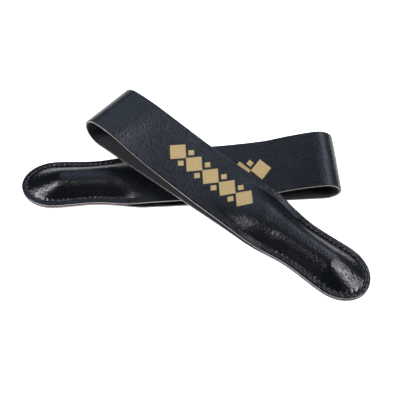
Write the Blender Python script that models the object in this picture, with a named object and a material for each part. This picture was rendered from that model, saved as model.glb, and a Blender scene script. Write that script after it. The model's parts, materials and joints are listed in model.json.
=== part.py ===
"""A pair of weighted leather damper straps, the upper one lying across the lower one.

Each strap is one strip of leather folded in half. Its two paddle-shaped ends are sewn together
round a flat bar weight between two felt pads, and the rest of the strip is an open loop.

Every strap is built in its own frame: X runs along the strap from the pocket's tip to the fold,
Y runs to the left of that, and Z is up. A strap's two legs are separate pieces from its pocket
panels, because the leather bends where the seam ends. Units are metres.
"""

import math
from dataclasses import dataclass

import bmesh
import bpy
from mathutils import Matrix, Vector

MM = 0.001
CLEARANCE = 0.3 * MM  # between pieces that touch

# The leather strip
STRAP_LENGTH = 196 * MM  # from the pocket's tip to the outside of the fold
STRAP_WIDTH = 38 * MM
LEATHER = 1.6 * MM
FOLD_REACH = 10.5 * MM  # how far the round of the fold runs out past the straight legs
FOLD_GAP = LEATHER / 2  # between the fold's halves at their outer faces, where the legs part

# The paddle end
PADDLE_WIDTH = 33 * MM
TIP_LENGTH = 20.6 * MM  # of the half ellipse that rounds the tip
NECK_WIDTH = 31.2 * MM
NECK_STATION = 44 * MM  # where the outline is narrowest
SHOULDER_STATION = 76 * MM  # where it reaches the strap's full width
BEND_STATION = 60 * MM  # where the seam has ended and the strap bends

# The seam and the foot of the pocket's dome, in from the cut edge
SEAM_INSET = 2.9 * MM
SEAM_END_GAP = 2.5 * MM  # from the last stitch to the bend
DOME_INSET = 3.9 * MM
THREAD = 0.5 * MM
BELLY = 1.0 * MM  # how far the back panel bulges

# The weight and its pads
WEIGHT_STATION = 20.5 * MM  # its end, from the tip
WEIGHT_LENGTH = 32 * MM
WEIGHT_WIDTH = 11 * MM
WEIGHT_THICKNESS = 4.2 * MM
WEIGHT_CORNER = 5.2 * MM
WEIGHT_BEVEL = 0.7 * MM
FELT = 1.1 * MM
FELT_MARGIN = 0.3 * MM  # of felt past the weight all round
SHOULDER = 1.1 * MM  # of level leather past the weight, where the dome rounds over

# The dome where the pocket meets the legs
CROWN_AT_BEND = 3.7 * MM
CROWN_FADE = 22 * MM  # the length of top leg over which it flattens out

# The printed foil motif, a row of lozenges on each top leg
LOZENGES = 5
LOZENGE_LENGTH = 12.6 * MM
LOZENGE_WIDTH = 14.5 * MM
LOZENGE_JOIN = 0.8 * MM  # the width of the row where two lozenges meet
FOIL = 0.15 * MM
MOTIF_STATION = 118 * MM  # its middle, from the tip
MOTIF_OFFSET = 2 * MM  # its middle line, to the right of the strap's

# Worked out from the sizes above
MARGIN = 2 * LEATHER + CLEARANCE  # the two sewn layers together
CROWN = 2 * FELT + WEIGHT_THICKNESS + 3 * CLEARANCE - BELLY  # the dome, above the margin
FOLD_STATION = STRAP_LENGTH - FOLD_REACH
LEG_START = BEND_STATION + CLEARANCE / 2
POCKET_END = BEND_STATION - CLEARANCE / 2
REST_GAP = 2 * CLEARANCE + FOIL  # under the upper strap, where it passes over the foil

# Mesh steps
DOME_COLUMNS = (0, 0.28, 0.5, 0.64, 0.78, 0.9, 1)  # shares of the dome's half width
FLAT_COLUMNS = (0, 0.5, 1)
LEG_COLUMNS = (0, 0.3, 0.6, 0.82, 1)
LEG_ROWS = 13
FOLD_ROWS = 6
LOZENGE_ROWS = 4
TIP_ROWS = 3  # from the tip to the dome's foot
RISE_ROWS = 5  # from the foot to the end of the half ellipse
PADDLE_ROWS = 6
CORNER_STEPS = 5
SEAM_SIDE_STEPS = 6
SEAM_TIP_STEPS = 12
WELD = 0.001 * MM

# The grid on which the upper strap's clearance over the lower one is measured
LIFT_START = 20 * MM
LIFT_ROWS = 120
LIFT_COLUMNS = 12  # each side of the middle line


@dataclass
class Lie:
    """How one strap lies: its place, and the heights of its legs' outer faces.

    A leg's rows are (share of the way from the bend to the fold, height of its middle line,
    twist), where the twist is how much higher the left edge is than the middle. The top leg's
    heights are counted from the two sewn layers up, and the bottom leg's from the ground.
    """

    name: str
    tip: tuple
    heading: float
    pocket_height: float
    pocket_slope: float
    pocket_roll: float
    bottom: tuple
    top: tuple


LOWER = Lie(
    name="lower",
    tip=(-110.3 * MM, 8.4 * MM),
    heading=math.radians(3.5),
    pocket_height=BELLY,
    pocket_slope=0.0,
    pocket_roll=0.0,
    bottom=((0.14, 0.0, 0.0), (0.3, 0.0, 0.0), (1.0, 0.0, 0.0)),
    top=(
        (0.13, 3.1 * MM, 0.0),
        (0.26, 3.7 * MM, 0.3 * MM),
        (0.4, 4.6 * MM, 0.8 * MM),
        (0.58, 5.7 * MM, 1.3 * MM),
        (0.72, 7.2 * MM, 1.7 * MM),
        (0.87, 11.5 * MM, 2.0 * MM),
        (1.0, 13.7 * MM, 2.4 * MM),
    ),
)
UPPER = Lie(
    name="upper",
    tip=(94.5 * MM, -64.7 * MM),
    heading=math.radians(142.0),
    pocket_height=BELLY,
    pocket_slope=0.068,
    pocket_roll=-0.036,
    bottom=(
        (0.16, 8.1 * MM, -1.4 * MM),
        (0.32, 8.8 * MM, -1.4 * MM),
        (0.5, 9.0 * MM, -1.2 * MM),
        (0.72, 8.9 * MM, -0.8 * MM),
        (1.0, 9.1 * MM, -0.1 * MM),
    ),
    top=(
        (0.13, 8.5 * MM, -0.8 * MM),
        (0.24, 10.1 * MM, -0.5 * MM),
        (0.4, 12.1 * MM, -0.2 * MM),
        (0.53, 14.5 * MM, 0.2 * MM),
        (0.66, 17.5 * MM, 0.3 * MM),
        (0.79, 21.2 * MM, 1.0 * MM),
        (0.91, 24.9 * MM, 2.3 * MM),
        (1.0, 25.7 * MM, 2.6 * MM),
    ),
)


# ---------------------------------------------------------------- the outline and the dome


def ease(share):
    """From 0 to 1, level at both ends."""
    share = min(max(share, 0.0), 1.0)
    return share * share * (3 - 2 * share)


def between(low, high, start, end, s):
    """From low at station start to high at station end, level at both."""
    return low + (high - low) * ease((s - start) / (end - start))


def half_width(s):
    """Half the strap's width at station s from the tip."""
    if s < TIP_LENGTH:
        return PADDLE_WIDTH / 2 * math.sqrt(max(0.0, 1 - (1 - s / TIP_LENGTH) ** 2))
    if s < NECK_STATION:
        return between(PADDLE_WIDTH, NECK_WIDTH, TIP_LENGTH, NECK_STATION, s) / 2
    return between(NECK_WIDTH, STRAP_WIDTH, NECK_STATION, SHOULDER_STATION, s) / 2


def inset_width(s, inset):
    """Half the width at station s of the outline drawn in by inset."""
    if s >= TIP_LENGTH:
        return half_width(s) - inset
    reach = (TIP_LENGTH - s) / (TIP_LENGTH - inset)
    return (PADDLE_WIDTH / 2 - inset) * math.sqrt(max(0.0, 1 - reach**2))


def crown_share(s):
    """The dome's height on the strap's middle line in the pocket, from 0 to 1."""
    return ease((s - DOME_INSET) / (WEIGHT_STATION - FELT_MARGIN - DOME_INSET))


def crown_height(s):
    """How far the dome's top stands over the sewn margin at station s."""
    weight_end = WEIGHT_STATION + WEIGHT_LENGTH + FELT_MARGIN
    if s < weight_end:
        return CROWN * crown_share(s)
    if s < BEND_STATION:
        return between(CROWN, CROWN_AT_BEND, weight_end, BEND_STATION, s)
    return between(CROWN_AT_BEND, 0, BEND_STATION, BEND_STATION + CROWN_FADE, s)


def dome_share(s, t):
    """1 on the dome's level top and 0 from its foot outwards, at t to one side."""
    foot = inset_width(s, DOME_INSET)
    if foot <= 0:
        return 0.0
    level = (WEIGHT_WIDTH / 2 + SHOULDER) / inset_width(TIP_LENGTH, DOME_INSET)
    return 1 - ease((abs(t) / foot - level) / (1 - level))


# ---------------------------------------------------------------- how the straps lie


def pocket_plane(lie, s, t):
    """The height of the underside of the sewn margin."""
    return lie.pocket_height + lie.pocket_slope * s + lie.pocket_roll * t


def curve_through(knots, x):
    """The height at x of a smooth curve through (x, height, slope) knots."""
    for (x0, y0, m0), (x1, y1, m1) in zip(knots, knots[1:]):
        if x <= x1:
            break
    span = x1 - x0
    u = (x - x0) / span
    start = y0 * (1 + 2 * u) * (1 - u) ** 2 + m0 * span * u * (1 - u) ** 2
    return start + y1 * u * u * (3 - 2 * u) - m1 * span * u * u * (1 - u)


def with_slopes(points, first_slope):
    """(x, y) points with a slope at each one; the last one is level."""
    slopes = [first_slope]
    for (x0, y0), (x1, y1), (x2, y2) in zip(points, points[1:], points[2:]):
        before, after = (y1 - y0) / (x1 - x0), (y2 - y1) / (x2 - x1)
        slopes.append(2 * before * after / (before + after) if before * after > 0 else 0.0)
    return [(x, y, slope) for (x, y), slope in zip(points, slopes + [0.0])]


def leg_height(lie, rows, base, share, t):
    """The height of a leg's outer face, without the dome."""
    leg = FOLD_STATION - BEND_STATION
    start = pocket_plane(lie, BEND_STATION, 0) + base
    middle = [(0.0, start)] + [(at, base + height) for at, height, _ in rows]
    twist = [(0.0, lie.pocket_roll * STRAP_WIDTH / 2)] + [(at, high) for at, _, high in rows]
    height = curve_through(with_slopes(middle, lie.pocket_slope * leg), share)
    return height + curve_through(with_slopes(twist, 0.0), share) * t / (STRAP_WIDTH / 2)


def leg_share(s):
    return min(max((s - BEND_STATION) / (FOLD_STATION - BEND_STATION), 0.0), 1.0)


def top_face(lie, s, t):
    """The height of the strap's upper outer face."""
    dome = crown_height(s) * dome_share(s, t)
    if s < BEND_STATION:
        return pocket_plane(lie, s, t) + MARGIN + dome
    return leg_height(lie, lie.top, MARGIN, leg_share(s), t) + dome


def bottom_face(lie, s, t):
    """The height of the strap's lower outer face."""
    if s < BEND_STATION:
        weight_end = WEIGHT_STATION + WEIGHT_LENGTH + FELT_MARGIN
        fade = 1 - ease((s - weight_end) / (BEND_STATION - weight_end))
        return pocket_plane(lie, s, t) - BELLY * crown_share(s) * fade * dome_share(s, t)
    return leg_height(lie, lie.bottom, 0.0, leg_share(s), t)


def loop_point(lie, along, t_share, upward):
    """A point on a leg's outer face: along runs 0 to 1 on the leg and 1 to 2 round the fold."""
    face = top_face if upward else bottom_face
    if along <= 1:
        s = LEG_START + along * (FOLD_STATION - LEG_START)
        t = t_share(s)
        return Vector((s, t, face(lie, s, t)))
    t = t_share(FOLD_STATION)
    high, low = top_face(lie, FOLD_STATION, t), bottom_face(lie, FOLD_STATION, t)
    half_gap = FOLD_GAP / (high - low)
    angle = (math.pi / 2 - half_gap) * (2 - along) + half_gap
    rise = math.sin(angle) * (high - low) / 2 * (1 if upward else -1)
    return Vector((FOLD_STATION + FOLD_REACH * math.cos(angle), t, (high + low) / 2 + rise))


# ---------------------------------------------------------------- making meshes


def material(name, colour, roughness, metallic=0.0):
    made = bpy.data.materials.new(name)
    made.use_nodes = True
    shader = made.node_tree.nodes["Principled BSDF"]
    shader.inputs["Base Color"].default_value = (*colour, 1)
    shader.inputs["Roughness"].default_value = roughness
    shader.inputs["Metallic"].default_value = metallic
    return made


def new_object(name, data, finish, parent, shift=None):
    obj = bpy.data.objects.new(name, data)
    bpy.context.scene.collection.objects.link(obj)
    obj.data.materials.append(finish)
    obj.parent = parent
    obj.matrix_parent_inverse = shift or Matrix()
    return obj


def sheet(name, rows, columns, point, upward, thickness, finish, parent, shift=None):
    """A curved sheet through point(row, column), thickened inwards from its outer face."""
    bm = bmesh.new()
    bmesh.ops.create_grid(bm, x_segments=len(rows) - 1, y_segments=len(columns) - 1, size=1)
    for vert in bm.verts:
        row = rows[round((vert.co.x + 1) / 2 * (len(rows) - 1))]
        column = columns[round((vert.co.y + 1) / 2 * (len(columns) - 1))]
        vert.co = point(row, column)
    if not upward:
        bmesh.ops.reverse_faces(bm, faces=bm.faces)
    bmesh.ops.remove_doubles(bm, verts=bm.verts, dist=WELD)
    bmesh.ops.dissolve_degenerate(bm, edges=bm.edges, dist=WELD)
    mesh = bpy.data.meshes.new(name)
    bm.to_mesh(mesh)
    bm.free()
    mesh.shade_smooth()
    obj = new_object(name, mesh, finish, parent, shift)
    wall = obj.modifiers.new("Wall", "SOLIDIFY")
    wall.thickness = thickness
    wall.offset = -1
    wall.use_even_offset = True
    return obj


def mirrored(shares):
    """The columns of a sheet: shares of the dome's half width each side, then the cut edges."""
    right = [-2.0] + [-share for share in reversed(shares) if share]
    return right + list(shares) + [2.0]


def across(column, s):
    """Where a column lies across the strap at station s; +-2 stands for the cut edges."""
    if abs(column) > 1:
        return math.copysign(half_width(s), column)
    return column * inset_width(s, DOME_INSET)


def pocket_rows():
    """Stations from the tip to the bend, with one on the foot of the dome."""
    foot_angle = math.acos(1 - DOME_INSET / TIP_LENGTH)
    rise = (math.pi / 2 - foot_angle) / RISE_ROWS
    angles = [foot_angle * step / TIP_ROWS for step in range(TIP_ROWS)]
    angles += [foot_angle + rise * step for step in range(RISE_ROWS + 1)]
    rows = [TIP_LENGTH * (1 - math.cos(angle)) for angle in angles]
    row_length = (POCKET_END - TIP_LENGTH) / PADDLE_ROWS
    return rows + [TIP_LENGTH + row_length * (step + 1) for step in range(PADDLE_ROWS)]


def panel(name, lie, columns, face, upward, finish, hinge, shift):
    def point(s, column):
        t = across(column, s)
        return Vector((s, t, face(lie, s, t)))

    columns = mirrored(columns)
    return sheet(name, pocket_rows(), columns, point, upward, LEATHER, finish, hinge, shift)


def leg(name, lie, upward, finish, parent, shift=None):
    rows = [step / LEG_ROWS for step in range(LEG_ROWS)]
    rows += [1 + step / FOLD_ROWS for step in range(FOLD_ROWS + 1)]

    def point(along, column):
        return loop_point(lie, along, lambda s: across(column, s), upward)

    columns = mirrored(LEG_COLUMNS if upward else FLAT_COLUMNS)
    return sheet(name, rows, columns, point, upward, LEATHER, finish, parent, shift)


def plate(name, lie, grow, corner, bottom, thickness, finish, hinge, shift):
    """A flat bar with round corners in the pocket; grow is how far it passes the weight."""
    start, end = WEIGHT_STATION - grow, WEIGHT_STATION + WEIGHT_LENGTH + grow
    side = WEIGHT_WIDTH / 2 + grow
    centres = (
        (end - corner, side - corner, 0),
        (start + corner, side - corner, 90),
        (start + corner, corner - side, 180),
        (end - corner, corner - side, 270),
    )
    bm = bmesh.new()
    outline = []
    for x, y, first in centres:
        for step in range(CORNER_STEPS + 1):
            angle = math.radians(first + 90 * step / CORNER_STEPS)
            place = (x + corner * math.cos(angle), y + corner * math.sin(angle), bottom)
            outline.append(bm.verts.new(place))
    raised = bmesh.ops.extrude_face_region(bm, geom=[bm.faces.new(outline)])["geom"]
    lifted = [item for item in raised if isinstance(item, bmesh.types.BMVert)]
    bmesh.ops.translate(bm, verts=lifted, vec=(0, 0, thickness))
    for vert in bm.verts:
        vert.co.z += pocket_plane(lie, vert.co.x, vert.co.y)
    bmesh.ops.recalc_face_normals(bm, faces=bm.faces)
    mesh = bpy.data.meshes.new(name)
    bm.to_mesh(mesh)
    bm.free()
    return new_object(name, mesh, finish, hinge, shift)


def seam_points(lie, height):
    """The row of stitches: up one side of the pocket, round the tip and back down the other."""
    end = BEND_STATION - SEAM_END_GAP
    step_length = (TIP_LENGTH - end) / SEAM_SIDE_STEPS
    straight = [end + step_length * step for step in range(SEAM_SIDE_STEPS)]
    places = [(s, inset_width(s, SEAM_INSET)) for s in straight]
    for step in range(SEAM_TIP_STEPS + 1):
        angle = math.pi * (0.5 - step / SEAM_TIP_STEPS)
        s = TIP_LENGTH - (TIP_LENGTH - SEAM_INSET) * math.cos(angle)
        places.append((s, (PADDLE_WIDTH / 2 - SEAM_INSET) * math.sin(angle)))
    places += [(s, -inset_width(s, SEAM_INSET)) for s in reversed(straight)]
    return [Vector((s, t, pocket_plane(lie, s, t) + height)) for s, t in places]


def thread(name, lie, height, finish, hinge, shift):
    curve = bpy.data.curves.new(name, "CURVE")
    curve.dimensions = "3D"
    curve.bevel_depth = THREAD / 2
    curve.bevel_resolution = 1
    curve.use_fill_caps = True
    points = seam_points(lie, height)
    spline = curve.splines.new("POLY")
    spline.points.add(len(points) - 1)
    for target, point in zip(spline.points, points):
        target.co = (*point, 1)
    return new_object(name, curve, finish, hinge, shift)


def motif(name, lie, finish, hinge, shift):
    """The row of lozenges, joined at their points, just over the top leg."""
    rows = range(LOZENGES * LOZENGE_ROWS + 1)
    start = MOTIF_STATION - LOZENGES * LOZENGE_LENGTH / 2

    def point(row, column):
        from_middle = abs((row / LOZENGE_ROWS) % 1 - 0.5) * 2
        width = LOZENGE_WIDTH + (LOZENGE_JOIN - LOZENGE_WIDTH) * from_middle
        s = start + row * LOZENGE_LENGTH / LOZENGE_ROWS
        t = column * width / 2 - MOTIF_OFFSET
        return Vector((s, t, top_face(lie, s, t) + CLEARANCE + FOIL))

    columns = [-1, -0.5, 0, 0.5, 1]
    return sheet(name, rows, columns, point, True, FOIL, finish, hinge, shift)


# ---------------------------------------------------------------- the straps


def strap_frame(lie, root, lift):
    frame = bpy.data.objects.new(f"{lie.name}_strap", None)
    bpy.context.scene.collection.objects.link(frame)
    frame.parent = root
    frame.location = (*lie.tip, lift)
    frame.rotation_euler = (0, 0, lie.heading)
    return frame


def hinge_at(name, frame, height):
    """An empty on a bend line, and the shift that leaves its pieces in the strap's frame."""
    hinge = bpy.data.objects.new(name, None)
    bpy.context.scene.collection.objects.link(hinge)
    hinge.parent = frame
    hinge.location = (BEND_STATION, 0, height)
    return hinge, Matrix.Translation(hinge.location).inverted()


def build_pocket(lie, hinge, shift, finishes):
    """The two panels, the weight between its felts, and the two threads that close the seam."""
    name, leather, felt = lie.name, finishes["leather"], finishes["felt"]
    place = (hinge, shift)
    panel(f"{name}_front_panel", lie, DOME_COLUMNS, top_face, True, leather, *place)
    panel(f"{name}_back_panel", lie, DOME_COLUMNS, bottom_face, False, leather, *place)
    pad_corner = WEIGHT_CORNER + FELT_MARGIN
    level = LEATHER - BELLY + CLEARANCE
    plate(f"{name}_back_felt", lie, FELT_MARGIN, pad_corner, level, FELT, felt, *place)
    level += FELT + CLEARANCE
    weight = plate(
        f"{name}_weight", lie, 0, WEIGHT_CORNER, level, WEIGHT_THICKNESS, finishes["steel"], *place
    )
    edge = weight.modifiers.new("Edge", "BEVEL")
    edge.width = WEIGHT_BEVEL
    edge.segments = 2
    level += WEIGHT_THICKNESS + CLEARANCE
    plate(f"{name}_front_felt", lie, FELT_MARGIN, pad_corner, level, FELT, felt, *place)
    over = MARGIN + CLEARANCE + THREAD / 2
    thread(f"{name}_needle_thread", lie, over, finishes["thread"], *place)
    thread(f"{name}_bobbin_thread", lie, -CLEARANCE - THREAD / 2, finishes["thread"], *place)


def build_strap(lie, root, lift, finishes):
    frame = strap_frame(lie, root, lift)
    crest = top_face(lie, BEND_STATION, 0)
    pocket_hinge, shift = hinge_at(f"{lie.name}_pocket_hinge", frame, crest)
    build_pocket(lie, pocket_hinge, shift, finishes)
    leg(f"{lie.name}_bottom_leg", lie, False, finishes["leather"], frame)
    loop_hinge, shift = hinge_at(f"{lie.name}_loop_hinge", frame, crest)
    leg(f"{lie.name}_top_leg", lie, True, finishes["leather"], loop_hinge, shift)
    motif(f"{lie.name}_foil_motif", lie, finishes["foil"], loop_hinge, shift)


def resting_lift():
    """How far the upper strap has to rise to lie clear of the lower one."""
    place = Matrix.Translation((*UPPER.tip, 0)) @ Matrix.Rotation(UPPER.heading, 4, "Z")
    under = Matrix.Translation((*LOWER.tip, 0)) @ Matrix.Rotation(LOWER.heading, 4, "Z")
    to_lower = under.inverted() @ place
    lift = 0.0
    for row in range(LIFT_ROWS + 1):
        s = LIFT_START + (FOLD_STATION - LIFT_START) * row / LIFT_ROWS
        for column in range(-LIFT_COLUMNS, LIFT_COLUMNS + 1):
            t = half_width(s) * column / LIFT_COLUMNS
            below = to_lower @ Vector((s, t, 0))
            if 0 < below.x < FOLD_STATION and abs(below.y) < half_width(below.x):
                gap = bottom_face(UPPER, s, t) - top_face(LOWER, below.x, below.y)
                lift = max(lift, REST_GAP - gap)
    return lift


def centre(root):
    """Moves the pair so that its box stands on the origin."""
    bpy.context.view_layer.update()
    graph = bpy.context.evaluated_depsgraph_get()
    corners = []
    for obj in bpy.context.scene.objects:
        if obj.type in ("MESH", "CURVE"):
            made = obj.evaluated_get(graph)
            mesh = made.to_mesh()
            corners += [made.matrix_world @ vert.co for vert in mesh.vertices]
            made.to_mesh_clear()
    low = [min(corner[axis] for corner in corners) for axis in range(3)]
    high = [max(corner[axis] for corner in corners) for axis in range(3)]
    root.location = (-(low[0] + high[0]) / 2, -(low[1] + high[1]) / 2, -low[2])
    bpy.context.view_layer.update()


def main():
    for obj in list(bpy.data.objects):
        bpy.data.objects.remove(obj)
    finishes = {
        "leather": material("black_leather", (0.012, 0.014, 0.017), 0.45),
        "felt": material("grey_felt", (0.16, 0.16, 0.17), 0.95),
        "steel": material("plated_steel", (0.55, 0.56, 0.58), 0.35, 1.0),
        "thread": material("black_thread", (0.02, 0.02, 0.022), 0.6),
        "foil": material("gold_foil", (0.55, 0.42, 0.2), 0.4, 0.6),
    }
    root = bpy.data.objects.new("pair", None)
    bpy.context.scene.collection.objects.link(root)
    build_strap(LOWER, root, 0.0, finishes)
    build_strap(UPPER, root, resting_lift(), finishes)
    centre(root)


main()
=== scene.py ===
"""The looks of a pair of weighted leather damper straps, one lying across the other.

Each strap is one strip of leather folded in half, with its two paddle-shaped ends sewn together
round a flat bar weight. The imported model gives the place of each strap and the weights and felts
inside; the leather, the stitches and the foil print are made here. Lengths are in metres.
"""

import json
import logging
import math
from dataclasses import dataclass, field
from enum import Enum
from typing import Any

import bmesh
import bpy
from mathutils import Matrix, Vector

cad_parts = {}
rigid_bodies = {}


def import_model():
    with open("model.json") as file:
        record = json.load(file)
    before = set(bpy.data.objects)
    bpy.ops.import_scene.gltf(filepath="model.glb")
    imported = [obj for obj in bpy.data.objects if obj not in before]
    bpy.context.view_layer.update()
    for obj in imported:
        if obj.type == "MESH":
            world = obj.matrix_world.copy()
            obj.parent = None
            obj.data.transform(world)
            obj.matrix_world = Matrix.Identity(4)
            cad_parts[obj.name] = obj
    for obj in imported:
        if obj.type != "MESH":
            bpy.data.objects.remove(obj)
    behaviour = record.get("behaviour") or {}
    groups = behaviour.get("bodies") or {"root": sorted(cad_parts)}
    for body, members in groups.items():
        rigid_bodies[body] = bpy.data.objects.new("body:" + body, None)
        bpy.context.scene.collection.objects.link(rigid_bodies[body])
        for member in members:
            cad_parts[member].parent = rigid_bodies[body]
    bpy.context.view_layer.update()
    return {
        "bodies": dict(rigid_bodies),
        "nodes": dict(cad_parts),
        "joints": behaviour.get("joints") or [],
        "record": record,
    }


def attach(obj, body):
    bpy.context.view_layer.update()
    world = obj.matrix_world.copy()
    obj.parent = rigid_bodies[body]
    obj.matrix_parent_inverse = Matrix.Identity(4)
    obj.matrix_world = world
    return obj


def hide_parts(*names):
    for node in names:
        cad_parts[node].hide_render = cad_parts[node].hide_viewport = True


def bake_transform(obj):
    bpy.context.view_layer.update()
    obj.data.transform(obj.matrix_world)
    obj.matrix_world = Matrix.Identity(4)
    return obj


MM = 0.001
LOG = logging.getLogger("damper_straps")
Pair = tuple[float, float]
Triple = tuple[float, float, float]


class Layer(Enum):
    """The two leather layers of a sewn pocket."""

    FRONT = "front"
    BACK = "back"


class Region(Enum):
    """The pieces that one strip of leather is parted into, meeting at the bend."""

    POCKET = 1
    LOOP = 2


class Face(Enum):
    """The leather's own surfaces, in the order of its material slots."""

    GRAIN = 0
    CUT_EDGE = 1
    FLESH = 2


# ---------------------------------------------------------------- finishes


def linear(hex_colour: str) -> tuple[float, float, float, float]:
    """Turns an sRGB hex colour into linear RGBA.

    Args:
        hex_colour: six hex digits.

    Returns:
        The colour in linear light, with an alpha of 1.
    """
    channels = [int(hex_colour[at : at + 2], 16) / 255 for at in (0, 2, 4)]
    red, green, blue = (c / 12.92 if c <= 0.04045 else ((c + 0.055) / 1.055) ** 2.4 for c in channels)
    return (red, green, blue, 1.0)


def add_node(
    tree: bpy.types.NodeTree,
    kind: str,
    settings: dict[str, Any] | None = None,
    inputs: dict[str | int, Any] | None = None,
) -> bpy.types.Node:
    """Adds a node with its settings and links.

    Args:
        tree: the node tree that gets the node.
        kind: the node's type name.
        settings: the node's own properties.
        inputs: for each input, by name or number, a value or the output that feeds it.

    Returns:
        The new node.
    """
    node = tree.nodes.new(kind)
    for name, value in (settings or {}).items():
        setattr(node, name, value)
    for name, value in (inputs or {}).items():
        if isinstance(value, bpy.types.NodeSocket):
            tree.links.new(value, node.inputs[name])
        else:
            node.inputs[name].default_value = value
    return node


def new_material(name: str) -> tuple[bpy.types.Material, bpy.types.NodeTree]:
    """Makes an empty node material.

    Args:
        name: the material's name.

    Returns:
        The material and its tree, with no nodes in it.
    """
    made = bpy.data.materials.new(name)
    made.use_nodes = True
    made.node_tree.nodes.clear()
    return made, made.node_tree


def finish_with(tree: bpy.types.NodeTree, inputs: dict[str | int, Any]) -> None:
    """Ends a material with one Principled shader.

    Args:
        tree: the material's tree.
        inputs: the shader's values and links.
    """
    shader = add_node(tree, "ShaderNodeBsdfPrincipled", {}, inputs)
    add_node(tree, "ShaderNodeOutputMaterial", {}, {"Surface": shader.outputs["BSDF"]})


def per_mm(size: float) -> float:
    """The scale of a texture whose features are size millimetres across."""
    return 1 / (size * MM)


@dataclass(frozen=True)
class DyedGrainLeather:
    """Black bridle leather, grain side: pigment-dyed, plated smooth and waxed.

    It reads as a blue-black satin with a very fine pebble. The pockets were wetted and moulded
    round the weight and rubbed, so they are glossier: the mesh attribute "polish" says where.
    """

    pit: str = "030405"
    ground: str = "0C1014"
    pebble: float = 0.9
    pebble_depth: float = 0.22
    cockle: float = 9.0
    cockle_depth: float = 0.16
    satin: float = 0.3
    polished: float = 0.2

    def material(self) -> bpy.types.Material:
        """Builds the material."""
        made, tree = new_material("dyed_grain_leather")
        place = add_node(tree, "ShaderNodeTexCoord").outputs["Object"]
        pebble = add_node(
            tree,
            "ShaderNodeTexVoronoi",
            {"feature": "SMOOTH_F1"},
            {"Vector": place, "Scale": per_mm(self.pebble), "Smoothness": 0.6, "Randomness": 1.0},
        )
        speckle = add_node(
            tree,
            "ShaderNodeTexNoise",
            {},
            {"Vector": place, "Scale": per_mm(self.pebble), "Detail": 4.0, "Roughness": 0.75},
        )
        cockle = add_node(
            tree, "ShaderNodeTexNoise", {}, {"Vector": place, "Scale": per_mm(self.cockle), "Detail": 2.0}
        )
        colour = add_node(
            tree,
            "ShaderNodeMix",
            {"data_type": "RGBA"},
            {"Factor": speckle.outputs["Fac"], "A": linear(self.pit), "B": linear(self.ground)},
        )
        polish = add_node(tree, "ShaderNodeAttribute", {"attribute_name": "polish"}).outputs["Fac"]
        gloss = add_node(
            tree,
            "ShaderNodeMapRange",
            {},
            {"Value": polish, "To Min": self.satin, "To Max": self.polished},
        )
        rough = add_node(
            tree,
            "ShaderNodeMath",
            {"operation": "MULTIPLY_ADD"},
            {0: speckle.outputs["Fac"], 1: 0.3, 2: gloss.outputs["Result"]},
        )
        rough = add_node(
            tree, "ShaderNodeMath", {"operation": "SUBTRACT"}, {0: rough.outputs[0], 1: 0.15}
        )
        fine = add_node(
            tree,
            "ShaderNodeBump",
            {},
            {
                "Height": pebble.outputs["Distance"],
                "Strength": 0.7,
                "Distance": self.pebble_depth * MM,
            },
        )
        broad = add_node(
            tree,
            "ShaderNodeBump",
            {},
            {
                "Height": cockle.outputs["Fac"],
                "Strength": 1.0,
                "Distance": self.cockle_depth * MM,
                "Normal": fine.outputs["Normal"],
            },
        )
        finish_with(
            tree,
            {
                "Base Color": colour.outputs["Result"],
                "Roughness": rough.outputs[0],
                "Normal": broad.outputs["Normal"],
                "Specular IOR Level": 0.3,
            },
        )
        return made


@dataclass(frozen=True)
class CutEdgeLeather:
    """The strip's cut edge, left undyed: pale, slightly pink fibres with a darker bite of dye."""

    fibre: str = "C9BCBA"
    stain: str = "6E6668"
    fibre_size: float = 0.5

    def material(self) -> bpy.types.Material:
        """Builds the material."""
        made, tree = new_material("undyed_cut_edge")
        place = add_node(tree, "ShaderNodeTexCoord").outputs["Object"]
        fibres = add_node(
            tree,
            "ShaderNodeTexNoise",
            {},
            {"Vector": place, "Scale": per_mm(self.fibre_size), "Detail": 4.0, "Roughness": 0.7},
        )
        colour = add_node(
            tree,
            "ShaderNodeMix",
            {"data_type": "RGBA"},
            {"Factor": fibres.outputs["Fac"], "A": linear(self.stain), "B": linear(self.fibre)},
        )
        bump = add_node(
            tree,
            "ShaderNodeBump",
            {},
            {"Height": fibres.outputs["Fac"], "Strength": 0.8, "Distance": 0.1 * MM},
        )
        finish_with(
            tree,
            {
                "Base Color": colour.outputs["Result"],
                "Roughness": 0.75,
                "Normal": bump.outputs["Normal"],
            },
        )
        return made


@dataclass(frozen=True)
class FleshLeather:
    """The strip's flesh side, dyed through and slicked down: dark, matt and faintly napped."""

    deep: str = "0D1013"
    nap: str = "1B1F24"
    nap_size: float = 0.8

    def material(self) -> bpy.types.Material:
        """Builds the material."""
        made, tree = new_material("slicked_flesh_leather")
        place = add_node(tree, "ShaderNodeTexCoord").outputs["Object"]
        nap = add_node(
            tree,
            "ShaderNodeTexNoise",
            {},
            {"Vector": place, "Scale": per_mm(self.nap_size), "Detail": 5.0, "Roughness": 0.75},
        )
        colour = add_node(
            tree,
            "ShaderNodeMix",
            {"data_type": "RGBA"},
            {"Factor": nap.outputs["Fac"], "A": linear(self.deep), "B": linear(self.nap)},
        )
        bump = add_node(
            tree,
            "ShaderNodeBump",
            {},
            {"Height": nap.outputs["Fac"], "Strength": 0.7, "Distance": 0.12 * MM},
        )
        finish_with(
            tree,
            {
                "Base Color": colour.outputs["Result"],
                "Roughness": 0.6,
                "Sheen Weight": 0.15,
                "Sheen Roughness": 0.5,
                "Normal": bump.outputs["Normal"],
            },
        )
        return made


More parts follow.
